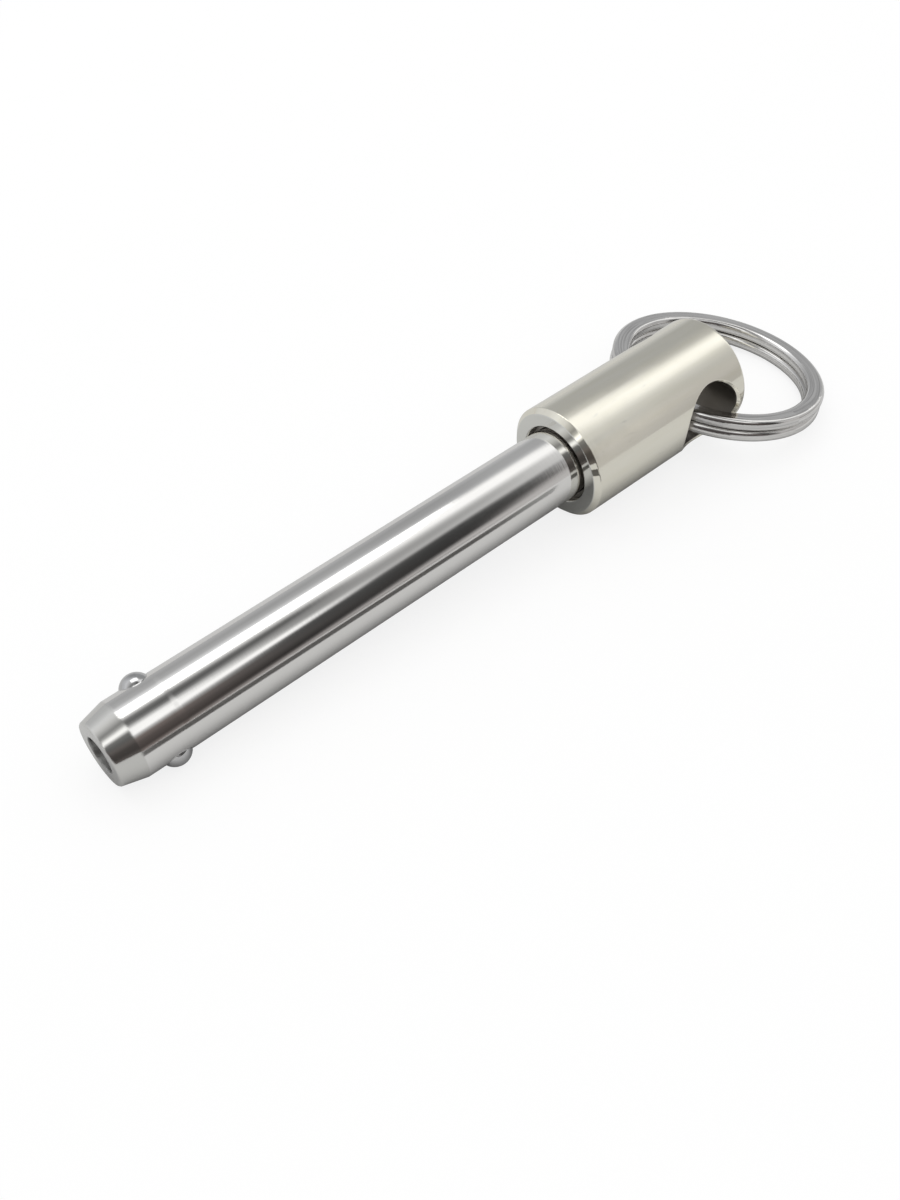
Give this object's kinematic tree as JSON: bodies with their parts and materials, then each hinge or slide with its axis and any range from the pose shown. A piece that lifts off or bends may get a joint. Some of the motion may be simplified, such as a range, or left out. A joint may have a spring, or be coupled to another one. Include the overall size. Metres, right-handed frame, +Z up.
{
  "type": "ball lock pin",
  "caption": "Quick release pin: pulling the sleeve handle draws back a sprung spindle so the locking balls drop in; a split ring hangs in the handle's cross hole.",
  "frame": {"origin": "centre of the handle's seat face, on the shank's axis", "axes": "+Z is up from the surface the pin lies on. +X is level and runs from the nose towards the handle and the split ring; the shank's axis climbs 2.57 degrees along it, because the fatter handle lifts that end. +Y is the side of the upper ball."},
  "size_m": [0.1221, 0.0318, 0.0173],
  "materials": {
    "polished_steel": "ground and polished bright",
    "satin_steel": "fine turned satin",
    "ring_steel": "drawn and tumbled bright",
    "ball_steel": "polished",
    "inner_steel": "turned",
    "spring_steel": "drawn wire"
  },
  "bodies": {
    "shank": {"shank": "polished_steel", "bush": "inner_steel", "return_spring": "spring_steel"},
    "spindle": {"spindle": "inner_steel"},
    "handle": {"handle": "satin_steel"},
    "ring": {"split_ring": "ring_steel"},
    "upper_ball": {"ball_upper": "ball_steel"},
    "lower_ball": {"ball_lower": "ball_steel"}
  },
  "joints": [
    {"name": "handle_pull", "type": "slide", "parent": "shank", "child": "spindle", "axis": [0.999, 0, 0.0448], "range_m": [0, 0.0035], "stiffness_N_per_m": 1700, "springref_m": -0.006, "deforming": ["return_spring"]},
    {"name": "handle_swivel", "type": "hinge", "parent": "spindle", "child": "handle", "pos_m": [0.01698, 0, 0.00076], "axis": [0.999, 0, 0.0448], "continuous": true},
    {"name": "ring_swing", "type": "hinge", "parent": "handle", "child": "ring", "pos_m": [0.02288, 0, 0.00103], "axis": [-0.0061, 0.9907, 0.1356], "range_deg": [-165, 135]},
    {"name": "upper_ball_drop", "type": "slide", "parent": "shank", "child": "upper_ball", "axis": [-0.03, 0.7431, 0.6685], "range_m": [-0.00105, 0]},
    {"name": "lower_ball_drop", "type": "slide", "parent": "shank", "child": "lower_ball", "axis": [0.03, -0.7431, -0.6685], "range_m": [-0.00105, 0]}
  ],
  "couplings": [
    {"joint": "upper_ball_drop", "follows": "handle_pull", "ratio": -0.3},
    {"joint": "lower_ball_drop", "follows": "handle_pull", "ratio": -0.3}
  ]
}
